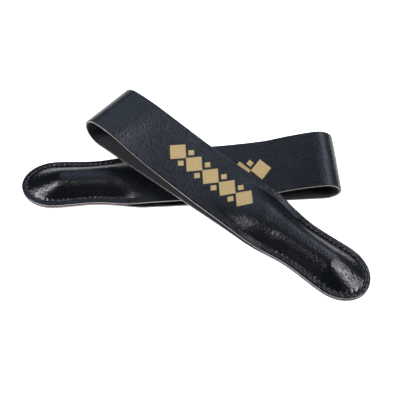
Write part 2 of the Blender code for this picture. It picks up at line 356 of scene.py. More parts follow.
@dataclass(frozen=True)
class WaxedThread:
    """Black waxed polyester: glossy, with the lay of its twisted plies across each stitch, and painted
    shade darkening the grooves between the plies.

    The mesh attributes "along" and "around" run from 0 to 1 over a stitch and round it.
    """

    ply: str = "23262C"
    # painted shade: the near-black that fills the grooves between the plies
    painted_groove_shade: str = "08090B"
    turns: float = 4.0
    plies: float = 3.0

    def material(self) -> bpy.types.Material:
        """Builds the material."""
        made, tree = new_material("waxed_thread")
        along = add_node(tree, "ShaderNodeAttribute", {"attribute_name": "along"}).outputs["Fac"]
        around = add_node(tree, "ShaderNodeAttribute", {"attribute_name": "around"}).outputs["Fac"]
        lay = add_node(
            tree, "ShaderNodeMath", {"operation": "MULTIPLY"}, {0: around, 1: self.plies * math.tau}
        )
        twist = add_node(
            tree,
            "ShaderNodeMath",
            {"operation": "MULTIPLY_ADD"},
            {0: along, 1: self.turns * math.tau, 2: lay.outputs[0]},
        )
        wave = add_node(tree, "ShaderNodeMath", {"operation": "SINE"}, {0: twist.outputs[0]})
        height = add_node(
            tree,
            "ShaderNodeMapRange",
            {},
            {"Value": wave.outputs[0], "From Min": -1.0, "From Max": 1.0},
        )
        # Painted shade: the colour falls from the ply colour to near-black in the grooves between the
        # plies, following the twist's height.
        colour = add_node(
            tree,
            "ShaderNodeMix",
            {"data_type": "RGBA"},
            {"Factor": height.outputs["Result"], "A": linear(self.painted_groove_shade), "B": linear(self.ply)},
        )
        bump = add_node(
            tree,
            "ShaderNodeBump",
            {},
            {"Height": height.outputs["Result"], "Strength": 0.6, "Distance": 0.08 * MM},
        )
        finish_with(
            tree,
            {
                "Base Color": colour.outputs["Result"],
                "Roughness": 0.28,
                "Normal": bump.outputs["Normal"],
            },
        )
        return made


@dataclass(frozen=True)
class StampedFoil:
    """Hot-stamped gold foil: a pale, flat gold pressed into the grain, with painted shade darkening the
    gold in the grain's hollows.
    """

    crest: str = "BFA873"
    # painted shade: the darker gold for the grain's hollows
    painted_hollow_shade: str = "6E5C38"
    break_up: float = 0.7

    def material(self) -> bpy.types.Material:
        """Builds the material."""
        made, tree = new_material("stamped_gold_foil")
        place = add_node(tree, "ShaderNodeTexCoord").outputs["Object"]
        grain = add_node(
            tree,
            "ShaderNodeTexNoise",
            {},
            {"Vector": place, "Scale": per_mm(self.break_up), "Detail": 3.0, "Roughness": 0.7},
        )
        # Painted shade: a darker gold where the grain noise is low, in the hollows that the bump makes.
        colour = add_node(
            tree,
            "ShaderNodeMix",
            {"data_type": "RGBA"},
            {"Factor": grain.outputs["Fac"], "A": linear(self.painted_hollow_shade), "B": linear(self.crest)},
        )
        bump = add_node(
            tree,
            "ShaderNodeBump",
            {},
            {"Height": grain.outputs["Fac"], "Strength": 0.5, "Distance": 0.05 * MM},
        )
        finish_with(
            tree,
            {
                "Base Color": colour.outputs["Result"],
                "Metallic": 0.35,
                "Roughness": 0.5,
                "Normal": bump.outputs["Normal"],
            },
        )
        return made


@dataclass(frozen=True)
class PressedFelt:
    """Grey pressed wool felt: matt, with tangled fibres a few tenths of a millimetre across."""

    shade: str = "4A4A4D"
    fluff: str = "77777B"
    fibre_size: float = 0.6

    def material(self) -> bpy.types.Material:
        """Builds the material."""
        made, tree = new_material("pressed_wool_felt")
        place = add_node(tree, "ShaderNodeTexCoord").outputs["Object"]
        fibres = add_node(
            tree,
            "ShaderNodeTexNoise",
            {},
            {"Vector": place, "Scale": per_mm(self.fibre_size), "Detail": 6.0, "Distortion": 1.5},
        )
        colour = add_node(
            tree,
            "ShaderNodeMix",
            {"data_type": "RGBA"},
            {"Factor": fibres.outputs["Fac"], "A": linear(self.shade), "B": linear(self.fluff)},
        )
        bump = add_node(
            tree,
            "ShaderNodeBump",
            {},
            {"Height": fibres.outputs["Fac"], "Strength": 1.0, "Distance": 0.2 * MM},
        )
        finish_with(
            tree,
            {
                "Base Color": colour.outputs["Result"],
                "Roughness": 0.95,
                "Sheen Weight": 0.3,
                "Normal": bump.outputs["Normal"],
            },
        )
        return made


@dataclass(frozen=True)
class TumbledSteel:
    """Zinc-plated mild steel, tumbled: a soft grey metal with small dings and cloudy plating."""

    bright: str = "C4C6C9"
    cloudy: str = "8F9296"
    cloud: float = 3.0

    def material(self) -> bpy.types.Material:
        """Builds the material."""
        made, tree = new_material("tumbled_zinc_steel")
        place = add_node(tree, "ShaderNodeTexCoord").outputs["Object"]
        clouds = add_node(
            tree, "ShaderNodeTexNoise", {}, {"Vector": place, "Scale": per_mm(self.cloud), "Detail": 5.0}
        )
        colour = add_node(
            tree,
            "ShaderNodeMix",
            {"data_type": "RGBA"},
            {"Factor": clouds.outputs["Fac"], "A": linear(self.cloudy), "B": linear(self.bright)},
        )
        rough = add_node(
            tree,
            "ShaderNodeMapRange",
            {},
            {"Value": clouds.outputs["Fac"], "To Min": 0.5, "To Max": 0.3},
        )
        finish_with(
            tree,
            {
                "Base Color": colour.outputs["Result"],
                "Metallic": 1.0,
                "Roughness": rough.outputs["Result"],
            },
        )
        return made


@dataclass(frozen=True)
class Finishes:
    """Every material of the pair, built once."""

    grain: bpy.types.Material
    cut_edge: bpy.types.Material
    flesh: bpy.types.Material
    thread: bpy.types.Material
    foil: bpy.types.Material
    felt: bpy.types.Material
    steel: bpy.types.Material

    @classmethod
    def build(cls) -> "Finishes":
        """Builds the materials with their standard values."""
        return cls(
            grain=DyedGrainLeather().material(),
            cut_edge=CutEdgeLeather().material(),
            flesh=FleshLeather().material(),
            thread=WaxedThread().material(),
            foil=StampedFoil().material(),
            felt=PressedFelt().material(),
            steel=TumbledSteel().material(),
        )


# ---------------------------------------------------------------- the strip's shape


def ease(share: float) -> float:
    """From 0 to 1, level at both ends."""
    share = min(max(share, 0.0), 1.0)
    return share * share * (3 - 2 * share)


def between(low: float, high: float, start: float, end: float, at: float) -> float:
    """From low at start to high at end, level at both."""
    return low + (high - low) * ease((at - start) / (end - start))


@dataclass(frozen=True)
class Outline:
    """The strip's cut outline, by station from the pocket's tip."""

    length: float = 196 * MM
    width: float = 38 * MM
    paddle_width: float = 33 * MM
    tip_length: float = 20.6 * MM
    neck_width: float = 31.2 * MM
    neck: float = 44 * MM
    bend: float = 60 * MM
    shoulder: float = 76 * MM
    fold_reach: float = 10.5 * MM

    @property
    def fold(self) -> float:
        """The station where the straight legs end and the fold begins."""
        return self.length - self.fold_reach

    def half_width(self, s: float) -> float:
        """Half the strip's width at a station past the rounded tip."""
        if s < self.neck:
            return between(self.paddle_width, self.neck_width, self.tip_length, self.neck, s) / 2
        return between(self.neck_width, self.width, self.neck, self.shoulder, s) / 2


@dataclass(frozen=True)
class Knot:
    """One point of a leg's rise: its share of the way from the bend to the fold.

    The height is the outer face's on the middle line, and the twist says how much higher the
    left edge is than that.
    """

    share: float
    height: float
    twist: float


def knots(*rows: Triple) -> tuple[Knot, ...]:
    """Knots from (share, height in mm, twist in mm)."""
    return tuple(Knot(share, height * MM, twist * MM) for share, height, twist in rows)


@dataclass(frozen=True)
class Lie:
    """How one strap lies: the plane of its sewn margin and the rise of its two legs.

    The dome over the weight runs out at the station dome_end, and the foil print's middle is at
    foil_station.
    """

    height: float
    slope: float
    roll: float
    dome_end: float
    foil_station: float
    bottom: tuple[Knot, ...]
    top: tuple[Knot, ...]


LOWER_LIE = Lie(
    height=1.0 * MM,
    slope=0.0,
    roll=0.0,
    dome_end=82 * MM,
    foil_station=123 * MM,
    bottom=knots((0.14, 0, 0), (0.3, 0, 0), (1, 0, 0)),
    top=knots(
        (0.13, 6.6, 0),
        (0.26, 7.2, 0.3),
        (0.4, 8.1, 0.8),
        (0.58, 9.2, 1.3),
        (0.72, 10.7, 1.7),
        (0.87, 15.0, 2.0),
        (1, 17.2, 2.4),
    ),
)
UPPER_LIE = Lie(
    height=1.0 * MM,
    slope=0.068,
    roll=-0.036,
    dome_end=106 * MM,
    foil_station=113 * MM,
    bottom=knots((0.16, 8.1, -1.4), (0.32, 8.8, -1.4), (0.5, 9, -1.2), (0.72, 8.9, -0.8), (1, 9.1, -0.1)),
    top=knots(
        (0.13, 12.0, -0.8),
        (0.24, 13.6, -0.5),
        (0.4, 15.6, -0.2),
        (0.53, 18.0, 0.2),
        (0.66, 21.0, 0.3),
        (0.79, 24.7, 1.0),
        (0.91, 28.4, 2.3),
        (1, 29.2, 2.6),
    ),
)


def curve_through(points: list[Pair], first_slope: float, x: float) -> float:
    """The height at x of a smooth curve that doesn't overshoot its points and ends level.

    Args:
        points: (x, y) in order of x.
        first_slope: the slope at the first point.
        x: where to read it.

    Returns:
        The curve's y at x.
    """
    slopes = [first_slope]
    for (x0, y0), (x1, y1), (x2, y2) in zip(points, points[1:], points[2:]):
        before, after = (y1 - y0) / (x1 - x0), (y2 - y1) / (x2 - x1)
        slopes.append(2 * before * after / (before + after) if before * after > 0 else 0.0)
    slopes.append(0.0)
    at = next((i for i in range(1, len(points)) if x <= points[i][0]), len(points) - 1)
    (x0, y0), (x1, y1) = points[at - 1], points[at]
    span, u = x1 - x0, (x - x0) / (x1 - x0)
    from_start = y0 * (1 + 2 * u) * (1 - u) ** 2 + slopes[at - 1] * span * u * (1 - u) ** 2
    return from_start + y1 * u * u * (3 - 2 * u) - slopes[at] * span * u * u * (1 - u)


@dataclass(frozen=True)
class Strip:
    """One strap's leather as a surface: u runs from the front panel's tip, over the top leg,
    round the fold and back along the bottom leg to the back panel's tip; t runs to the left."""

    lie: Lie
    outline: Outline = field(default_factory=Outline)
    leather: float = 1.6 * MM
    margin: float = 3.5 * MM
    fold_arc: float = 30 * MM
    dome_inset: float = 3.9 * MM
    dome_rise: float = 7.0 * MM
    hinge_rise: float = 3.7 * MM
    belly: float = 1.0 * MM
    spine_start: float = 25.5 * MM
    spine_width: float = 0.8 * MM
    stretched: float = 0.6 * MM
    weight_end: float = 52.8 * MM
    full_before: float = 4 * MM
    fullness: float = 0.4
    cone: float = 1.2
    rounding: float = 1.1
    foot_ease: float = 1.1
    foot_rounding: float = 0.2
    step: float = 0.05 * MM

    @property
    def end(self) -> float:
        """The value of u at the back panel's tip."""
        return 2 * self.outline.fold + self.fold_arc

    def plane(self, s: float, t: float) -> float:
        """The height of the underside of the sewn margin."""
        return self.lie.height + self.lie.slope * s + self.lie.roll * t

    def tent(self, s: float, t: float) -> float:
        """How far the leather is stretched up to the weight, from 0 at the seam to 1 over it.

        It falls from a spine along the weight: nearly straight towards the tip, like a cone, and
        rounded over the weight's long sides.

        Args:
            s: the station.
            t: the distance from the middle line.

        Returns:
            A share of the dome's height.
        """
        outline, side = self.outline, abs(t)
        beyond = max(self.spine_start - s, 0.0)
        away = math.hypot(beyond, side)
        if away <= self.spine_width:
            return 1.0
        sideways = side / away
        if beyond > 0:
            foot = self.foot_from_spine(beyond / away, sideways)
        else:
            foot = outline.half_width(s) - self.dome_inset
        share = min((away - self.spine_width) / (foot - self.spine_width), 1.0)
        full_at = self.weight_end - self.full_before
        fuller = between(0.0, self.fullness, self.spine_start, full_at, s)
        shoulder = self.cone + self.rounding * sideways**2 + fuller
        return (1 - share**shoulder) ** (self.foot_ease + self.foot_rounding * sideways**2)

    def foot_from_spine(self, ahead: float, sideways: float) -> float:
        """How far the dome's foot is from the spine's end, in a direction towards the tip.

        Args:
            ahead: the direction's part along the strap.
            sideways: its part across the strap.

        Returns:
            The distance.
        """
        outline = self.outline
        long, wide = outline.tip_length - self.dome_inset, outline.paddle_width / 2 - self.dome_inset
        start = (self.spine_start - outline.tip_length) / long
        straight = wide / sideways if sideways > 0 else math.inf
        if straight * ahead <= self.spine_start - outline.tip_length:
            return straight
        a = (ahead / long) ** 2 + (sideways / wide) ** 2
        b = -start * ahead / long
        return (-b + math.sqrt(b * b - a * (start * start - 1))) / a

    def crown(self, s: float) -> float:
        """The dome's height over the sewn margin on the middle line, past the tip."""
        return between(self.dome_rise, 0.0, self.weight_end, self.lie.dome_end, s)

    def leg(self, rows: tuple[Knot, ...], base: float, s: float, t: float) -> float:
        """The height of a leg's outer face without the dome.

        Args:
            rows: the leg's knots.
            base: its height over the plane at the bend.
            s: the station.
            t: the distance from the middle line.

        Returns:
            The height.
        """
        outline = self.outline
        half = outline.width / 2
        span = outline.fold - outline.bend
        share = min(max((s - outline.bend) / span, 0.0), 1.0)
        middle = [(0.0, self.plane(outline.bend, 0) + base)] + [(k.share, k.height) for k in rows]
        twist = [(0.0, self.lie.roll * half)] + [(k.share, k.twist) for k in rows]
        height = curve_through(middle, self.lie.slope * span, share)
        return height + curve_through(twist, 0.0, share) * t / half

    def top(self, s: float, t: float) -> float:
        """The height of the upper outer face."""
        dome = self.crown(s) * self.tent(s, t)
        if s < self.outline.bend:
            return self.plane(s, t) + self.margin + dome
        return self.leg(self.lie.top, self.margin, s, t) + dome

    def bottom(self, s: float, t: float) -> float:
        """The height of the lower outer face."""
        bend = self.outline.bend
        if s < bend:
            fade = 1 - ease((s - self.weight_end) / (bend - self.weight_end))
            return self.plane(s, t) - self.belly * fade * self.tent(s, t)
        return self.leg(self.lie.bottom, 0.0, s, t)

    def point(self, u: float, t: float) -> Vector:
        """A point of the outer face, in the strap's own frame."""
        fold = self.outline.fold
        if u <= fold:
            return Vector((u, t, self.top(u, t)))
        if u >= fold + self.fold_arc:
            s = self.end - u
            return Vector((s, t, self.bottom(s, t)))
        high, low = self.top(fold, t), self.bottom(fold, t)
        angle = math.pi * (0.5 - (u - fold) / self.fold_arc)
        x = fold + self.outline.fold_reach * math.cos(angle)
        return Vector((x, t, (high + low) / 2 + (high - low) / 2 * math.sin(angle)))

    def normal(self, u: float, t: float) -> Vector:
        """The outward normal of the outer face."""
        along = self.point(u + self.step, t) - self.point(u - self.step, t)
        across = self.point(u, t + self.step) - self.point(u, t - self.step)
        return along.cross(across).normalized()


# ---------------------------------------------------------------- the leather's mesh


@dataclass(frozen=True)
class Column:
    """One lengthwise line of the leather's mesh, on one side of the middle line.

    Near the cut edge it is a distance in from that edge; nearer the middle it is a share of what
    is left. The depth is a share of the leather's thickness, from the grain side.
    """

    inset: float
    share: float
    depth: float


@dataclass(frozen=True)
class Row:
    """One crosswise line: a station, or an angle round the tip, and its place along the seam."""

    station: float
    angle: float
    along: float


@dataclass(frozen=True)
class LeatherMesh:
    """Cuts a strip's surface into rows and columns and gives it its thickness."""

    strip: Strip
    seam_inset: float = 2.9 * MM
    seam_end: float = 57.5 * MM
    stitch_pitch: float = 3.2 * MM
    furrow: float = 0.2 * MM
    hole: float = 0.45 * MM
    pucker: float = 0.16 * MM
    furrow_width: float = 0.55 * MM
    rim: float = 0.32 * MM
    inner: float = 5.5 * MM
    sewn_swell: float = 0.14 * MM
    polish_start: float = 12 * MM
    polish_fade: float = 26 * MM
    core: float = 0.52 * MM
    pocket_blend: float = 8 * MM
    straight_rows: int = 98
    tip_rows: int = 62
    leg_rows: int = 84
    fold_rows: int = 44
    weld: float = 0.0005 * MM

    def insets(self) -> list[float]:
        """Distances from the cut edge, closest together at the rounded edge and the seam."""
        flat = (0.7, 1.2, 1.7, 2.1, 2.4, 2.65, 2.9, 3.15, 3.4, 3.7, 4.1, 4.5, 5.0, 5.5)
        return [self.rim] + [value * MM for value in flat]

    def columns(self) -> list[Column]:
        """From the middle line over the grain side, round the cut edge and back underneath."""
        shares = [step / 13 for step in range(13)]
        outer = [Column(self.inner, share, 0.0) for share in shares]
        outer += [Column(inset, 1.0, 0.0) for inset in reversed(self.insets())]
        slack = 1 - math.sqrt(0.5)
        rim = self.rim / self.strip.leather
        core = (1 - self.core / self.strip.leather) / 2
        corner = [Column(self.rim * slack, 1.0, rim * slack), Column(0.0, 1.0, rim)]
        corner.append(Column(0.0, 1.0, core))
        half = outer + corner
        return half + [Column(c.inset, c.share, 1 - c.depth) for c in reversed(half)]

    def place(self, row: Row, column: Column, side: int) -> Pair:
        """Where a row and a column cross.

        Args:
            row: the row.
            column: the column.
            side: 1 for the left of the middle line and -1 for the right.

        Returns:
            The station and the distance from the middle line.
        """
        outline = self.strip.outline
        if row.angle >= math.pi / 2:
            reach = outline.half_width(row.station) - column.inset
            return row.station, side * reach * column.share
        wide = (outline.paddle_width / 2 - column.inset) * column.share
        least = outline.tip_length - outline.paddle_width / 2
        long = least + (outline.tip_length - column.inset - least) * column.share
        return (
            outline.tip_length - long * math.cos(row.angle),
            side * wide * math.sin(row.angle),
        )

    def panel_rows(self) -> list[Row]:
        """From the bend to the middle of the tip, evenly along the seam."""
        outline = self.strip.outline
        quarter, rows = math.pi / 2, []
        for step in range(self.straight_rows):
            s = outline.bend + (outline.tip_length - outline.bend) * step / self.straight_rows
            rows.append(Row(s, quarter, self.seam_end - s))
        along = self.seam_end - outline.tip_length
        long = outline.tip_length - self.seam_inset
        wide = outline.paddle_width / 2 - self.seam_inset
        turn = quarter / self.tip_rows
        for step in range(self.tip_rows + 1):
            angle = quarter - turn * step
            rows.append(Row(outline.tip_length, angle, along))
            middle = angle - turn / 2
            along += turn * math.hypot(long * math.sin(middle), wide * math.cos(middle))
        return rows

    def stitches(self) -> int:
        """How many stitches the whole seam has."""
        return round(2 * self.panel_rows()[-1].along / self.stitch_pitch)

    def dent(self, row: Row, inset: float) -> float:
        """How far the stitches pull the leather in.

        Args:
            row: gives the place along the seam.
            inset: the distance from the cut edge.

        Returns:
            The depth under the undented face.
        """
        if row.along < -self.stitch_pitch / 2:
            return 0.0
        pitch = 2 * self.half_seam / self.stitches()
        holes = 0.5 + 0.5 * math.cos(math.tau * row.along / pitch)
        uneven = abs(math.sin(12.9898 * round(row.along / pitch)))
        off = (inset - self.seam_inset) / self.furrow_width
        fade = ease((row.along + self.stitch_pitch / 2) / self.stitch_pitch)
        furrow = self.furrow * math.exp(-(off**2))
        hole = self.hole * (0.6 + 0.8 * uneven) * holes**3 * math.exp(-((off * 1.3) ** 2))
        pucker = self.pucker * uneven * (1 - holes) * math.exp(-(((abs(off) - 2) / 1.2) ** 2))
        return fade * (furrow + hole - pucker)

    @property
    def half_seam(self) -> float:
        """Half the seam's length, from its end to the middle of the tip."""
        outline = self.strip.outline
        long = outline.tip_length - self.seam_inset
        wide = outline.paddle_width / 2 - self.seam_inset
        turn = math.pi / 2 / self.tip_rows
        arc = sum(
            turn * math.hypot(long * math.sin(turn * (k + 0.5)), wide * math.cos(turn * (k + 0.5)))
            for k in range(self.tip_rows)
        )
        return self.seam_end - outline.tip_length + arc

    def vertex(self, u: float, t: float, column: Column, row: Row, s: float) -> Vector:
        """A vertex of the leather: its outer point moved in by its depth and its dent."""
        strip = self.strip
        pocket = ease((strip.outline.bend + self.pocket_blend / 2 - s) / self.pocket_blend)
        sewn = self.sewn_swell * pocket
        thickness = strip.leather + sewn - strip.stretched * strip.tent(s, t) * pocket
        depth = column.depth * thickness
        if column.depth == 0 and column.share == 1:
            depth += self.dent(row, column.inset)
        return strip.point(u, t) - strip.normal(u, t) * depth


def build_strip_leather(shape: LeatherMesh, name: str) -> dict[Region, bpy.types.Mesh]:
    """Makes one strip of leather as two meshes that meet at the bend with no visible joint.

    Args:
        shape: the strip and how it is cut up.
        name: the strap's name.

    Returns:
        The pocket's mesh and the loop's, in the strap's own frame.
    """
    strip, outline = shape.strip, shape.strip.outline
    columns = shape.columns()
    bm = bmesh.new()
    polish = bm.verts.layers.float.new("polish")
    region = bm.faces.layers.int.new("region")

    def grid(rows: list[tuple[Row, Layer | None, float]], where: Region) -> None:
        """Adds the faces between the rows, on both sides of the middle line."""
        for side in (1, -1):
            last: list[bmesh.types.BMVert] = []
            for row, layer, u in rows:
                line = []
                for column in columns:
                    s, t = shape.place(row, column, side)
                    at = u if layer is None else (s if layer is Layer.FRONT else strip.end - s)
                    vert = bm.verts.new(shape.vertex(at, t, column, row, s))
                    vert[polish] = 1 - ease((s - shape.polish_start) / shape.polish_fade)
                    line.append(vert)
                for k in range(len(columns) - 1) if last else ():
                    face = bm.faces.new((last[k], last[k + 1], line[k + 1], line[k]))
                    face[region] = where.value
                    face.material_index = surface_of(columns[k], columns[k + 1]).value
                last = line

    for layer in Layer:
        grid([(row, layer, 0.0) for row in shape.panel_rows()], Region.POCKET)
    span = outline.fold - outline.bend
    loop = [outline.bend + span * k / shape.leg_rows for k in range(shape.leg_rows)]
    loop += [outline.fold + strip.fold_arc * k / shape.fold_rows for k in range(shape.fold_rows)]
    loop += [strip.end - u for u in reversed(loop[: shape.leg_rows])]
    loop.insert(shape.leg_rows + shape.fold_rows, outline.fold + strip.fold_arc)
    rows = []
    for u in loop:
        s = min(u, strip.end - u, outline.fold)
        rows.append((Row(s, math.pi / 2, -1.0), None, u))
    grid(rows, Region.LOOP)
    bmesh.ops.remove_doubles(bm, verts=bm.verts, dist=shape.weld)
    bmesh.ops.dissolve_degenerate(bm, edges=bm.edges, dist=shape.weld)
    bmesh.ops.recalc_face_normals(bm, faces=bm.faces)
    bm.normal_update()
    shading = bm.verts.layers.float_vector.new("shading")
    for vert in bm.verts:
        vert[shading] = vert.normal
    meshes = {where: part_of(bm, where, f"{name}_{where.name.lower()}_leather") for where in Region}
    bm.free()
    return meshes


def surface_of(first: Column, second: Column) -> Face:
    """Which of the leather's surfaces lies between two neighbouring columns."""
    low, high = sorted((first.depth, second.depth))
    if low == 1.0:
        return Face.FLESH
    if low < 0.5 < high:
        return Face.CUT_EDGE
    return Face.GRAIN


def part_of(bm: bmesh.types.BMesh, where: Region, name: str) -> bpy.types.Mesh:
    """Copies one region out of the whole strip, closes it and keeps the whole strip's shading.

    Args:
        bm: the whole strip.
        where: the region to keep.
        name: the mesh's name.

    Returns:
        The closed mesh.
    """
    part = bm.copy()
    region = part.faces.layers.int["region"]
    shading = part.verts.layers.float_vector["shading"]
    other = [face for face in part.faces if face[region] != where.value]
    bmesh.ops.delete(part, geom=other, context="FACES")
    edges = [edge for edge in part.edges if edge.is_boundary]
    caps = set(bmesh.ops.holes_fill(part, edges=edges, sides=0)["faces"])
    normals = []
    for face in part.faces:
        face.smooth = True
        for loop in face.loops:
            normals.append(face.normal.copy() if face in caps else Vector(loop.vert[shading]))
    mesh = bpy.data.meshes.new(name)
    part.to_mesh(mesh)
    part.free()
    mesh.normals_split_custom_set(normals)
    mesh.attributes.remove(mesh.attributes["shading"])
    mesh.attributes.remove(mesh.attributes["region"])
    return mesh


# ---------------------------------------------------------------- stitches and foil


class NodeShape:
    """A Geometry Nodes tree with named inputs, and the plain mesh that it makes."""

    def __init__(self, name: str) -> None:
        """Starts an empty tree with a geometry input and output.

        Args:
            name: the tree's name.
        """
        self.tree = bpy.data.node_groups.new(name, "GeometryNodeTree")
        face = self.tree.interface
        face.new_socket("Geometry", in_out="OUTPUT", socket_type="NodeSocketGeometry")
        face.new_socket("Geometry", in_out="INPUT", socket_type="NodeSocketGeometry")
        self.sockets: dict[str, str] = {}

    def size(self, name: str, kind: str) -> None:
        """Adds a named input; kind is the socket's type, such as Float or Int."""
        made = self.tree.interface.new_socket(
            name, in_out="INPUT", socket_type=f"NodeSocket{kind}"
        )
        self.sockets[name] = made.identifier

    def add(
        self, kind: str, settings: dict[str, Any] | None = None, inputs: dict[str | int, Any] | None = None
    ) -> bpy.types.Node:
        """Adds a node to the tree."""
        return add_node(self.tree, kind, settings, inputs)

    def mesh(self, start: bpy.types.Object, values: dict[str, Any], name: str) -> bpy.types.Mesh:
        """Runs the tree on an object and keeps the result as a plain mesh.

        Args:
            start: the object that carries the modifier; it is removed afterwards.
            values: the inputs' values, by their names.
            name: the mesh's name.

        Returns:
            The mesh.
        """
        modifier = start.modifiers.new("Shape", "NODES")
        modifier.node_group = self.tree
        for label, value in values.items():
            modifier[self.sockets[label]] = value
        bpy.context.view_layer.update()
        graph = bpy.context.evaluated_depsgraph_get()
        made = bpy.data.meshes.new_from_object(start.evaluated_get(graph), depsgraph=graph)
        made.name = name
        bpy.data.objects.remove(start)
        return made


@dataclass(frozen=True)
class Seam:
    """The row of lock stitches round a pocket, as Geometry Nodes on the seam's own line."""

    reach: float = 2.5 * MM
    radius: float = 0.4 * MM
    arch: float = 0.75 * MM
    bury: float = 0.4 * MM
    slant: float = math.radians(9)

    def shape(self) -> NodeShape:
        """Builds the tree: one bent, round-ended thread on each point of the seam's line."""
        shape = NodeShape("lock_stitches")
        for name, kind in (
            ("Stitches", "Int"),
            ("Reach", "Float"),
            ("Radius", "Float"),
            ("Arch", "Float"),
            ("Bury", "Float"),
            ("Slant", "Float"),
            ("Thread", "Material"),
        ):
            shape.size(name, kind)
        given = shape.add("NodeGroupInput").outputs
        points = shape.add(
            "GeometryNodeResampleCurve", {}, {"Curve": given["Geometry"], "Count": given["Stitches"]}
        )
        tangent = shape.add("GeometryNodeInputTangent").outputs["Tangent"]
        aim = shape.add("FunctionNodeAlignRotationToVector", {"axis": "X"}, {"Vector": tangent})
        turn = shape.add("ShaderNodeCombineXYZ", {}, {"Z": given["Slant"]})
        slanted = shape.add(
            "FunctionNodeRotateRotation",
            {"rotation_space": "LOCAL"},
            {"Rotation": aim.outputs["Rotation"], "Rotate By": turn.outputs["Vector"]},
        )
        half = shape.add(
            "ShaderNodeMath", {"operation": "MULTIPLY"}, {0: given["Reach"], 1: 0.5}
        ).outputs[0]
        back = shape.add("ShaderNodeMath", {"operation": "MULTIPLY"}, {0: half, 1: -1.0}).outputs[0]
        under = shape.add(
            "ShaderNodeMath", {"operation": "MULTIPLY"}, {0: given["Bury"], 1: -1.0}
        ).outputs[0]
        start = shape.add("ShaderNodeCombineXYZ", {}, {"X": back, "Z": under})
        middle = shape.add("ShaderNodeCombineXYZ", {}, {"Z": given["Arch"]})
        end = shape.add("ShaderNodeCombineXYZ", {}, {"X": half, "Z": under})
        bow = shape.add(
            "GeometryNodeCurveQuadraticBezier",
            {},
            {
                "Resolution": 8,
                "Start": start.outputs["Vector"],
                "Middle": middle.outputs["Vector"],
                "End": end.outputs["Vector"],
            },
        )
        ring = shape.add(
            "GeometryNodeCurvePrimitiveCircle", {}, {"Resolution": 8, "Radius": given["Radius"]}
        )
        factor = shape.add("GeometryNodeSplineParameter").outputs["Factor"]
        named = []
        for label, curve in (("along", bow.outputs["Curve"]), ("around", ring.outputs["Curve"])):
            stored = shape.add(
                "GeometryNodeStoreNamedAttribute",
                {"data_type": "FLOAT", "domain": "POINT"},
                {"Geometry": curve, "Name": label, "Value": factor},
            )
            named.append(stored.outputs["Geometry"])
        stitch = shape.add(
            "GeometryNodeCurveToMesh",
            {},
            {"Curve": named[0], "Profile Curve": named[1], "Fill Caps": True},
        )
        row = shape.add(
            "GeometryNodeInstanceOnPoints",
            {},
            {
                "Points": points.outputs["Curve"],
                "Instance": stitch.outputs["Mesh"],
                "Rotation": slanted.outputs["Rotation"],
            },
        )
        real = shape.add("GeometryNodeRealizeInstances", {}, {"Geometry": row.outputs["Instances"]})
        dressed = shape.add(
            "GeometryNodeSetMaterial",
            {},
            {"Geometry": real.outputs["Geometry"], "Material": given["Thread"]},
        )
        shape.add("NodeGroupOutput", {}, {"Geometry": dressed.outputs["Geometry"]})
        return shape

    def line(self, leather: LeatherMesh, layer: Layer) -> list[Vector]:
        """The seam's line on a layer's outer face, less half a stitch at each end.

        Args:
            leather: gives the outline and the surface.
            layer: which face.

        Returns:
            Points in the strap's frame, evenly close.
        """
        column = Column(leather.seam_inset, 1.0, 0.0)
        half_stitch = leather.half_seam / leather.stitches()
        points = []
        rows = [row for row in leather.panel_rows() if row.along >= half_stitch]
        for side, ordered in ((1, rows), (-1, rows[-2::-1])):
            for row in ordered:
                s, t = leather.place(row, column, side)
                u = s if layer is Layer.FRONT else leather.strip.end - s
                points.append(leather.strip.point(u, t))
        return points


@dataclass(frozen=True)
class FoilRow:
    """A foil print of plain lozenges: a joined row, with small ones between at both sides."""

    station: float
    count: int = 5
    length: float = 12.6 * MM
    width: float = 14.5 * MM
    small: float = 0.36
    offset: float = -1.5 * MM
    film: float = 0.05 * MM
    splits: int = 3

    def shape(self) -> NodeShape:
        """Builds the tree: one lozenge repeated along a line, as flat faces."""
        shape = NodeShape("lozenge_row")
        for name, kind in (
            ("Count", "Int"),
            ("Pitch", "Float"),
            ("Size", "Vector"),
            ("Start", "Vector"),
            ("Splits", "Int"),
            ("Foil", "Material"),
        ):
            shape.size(name, kind)
        given = shape.add("NodeGroupInput").outputs
        step = shape.add("ShaderNodeCombineXYZ", {}, {"X": given["Pitch"]})
        points = shape.add(
            "GeometryNodeMeshLine",
            {},
            {
                "Count": given["Count"],
                "Start Location": given["Start"],
                "Offset": step.outputs["Vector"],
            },
        )
        lozenge = shape.add(
            "GeometryNodeMeshCircle", {"fill_type": "NGON"}, {"Vertices": 4, "Radius": 1.0}
        )
        fine = shape.add(
            "GeometryNodeSubdivideMesh",
            {},
            {"Mesh": lozenge.outputs["Mesh"], "Level": given["Splits"]},
        )
        row = shape.add(
            "GeometryNodeInstanceOnPoints",
            {},
            {
                "Points": points.outputs["Mesh"],
                "Instance": fine.outputs["Mesh"],
                "Scale": given["Size"],
            },
        )
        real = shape.add("GeometryNodeRealizeInstances", {}, {"Geometry": row.outputs["Instances"]})
        dressed = shape.add(
            "GeometryNodeSetMaterial",
            {},
            {"Geometry": real.outputs["Geometry"], "Material": given["Foil"]},
        )
        shape.add("NodeGroupOutput", {}, {"Geometry": dressed.outputs["Geometry"]})
        return shape

    def rows(self) -> list[tuple[int, Triple, Triple]]:
        """The three rows, as (count, size, first middle) in the strap's plane."""
        first = self.station - (self.count - 1) / 2 * self.length
        between_row = first + self.length / 2
        side = self.width / 2 * (1 - self.small * 0.8)
        big = (self.length / 2, self.width / 2, 1.0)
        little = (self.length / 2 * self.small, self.width / 2 * self.small, 1.0)
        return [
            (self.count, big, (first, self.offset, 0.0)),
            (self.count - 1, little, (between_row, self.offset + side, 0.0)),
            (self.count - 1, little, (between_row, self.offset - side, 0.0)),
        ]


# ---------------------------------------------------------------- the straps


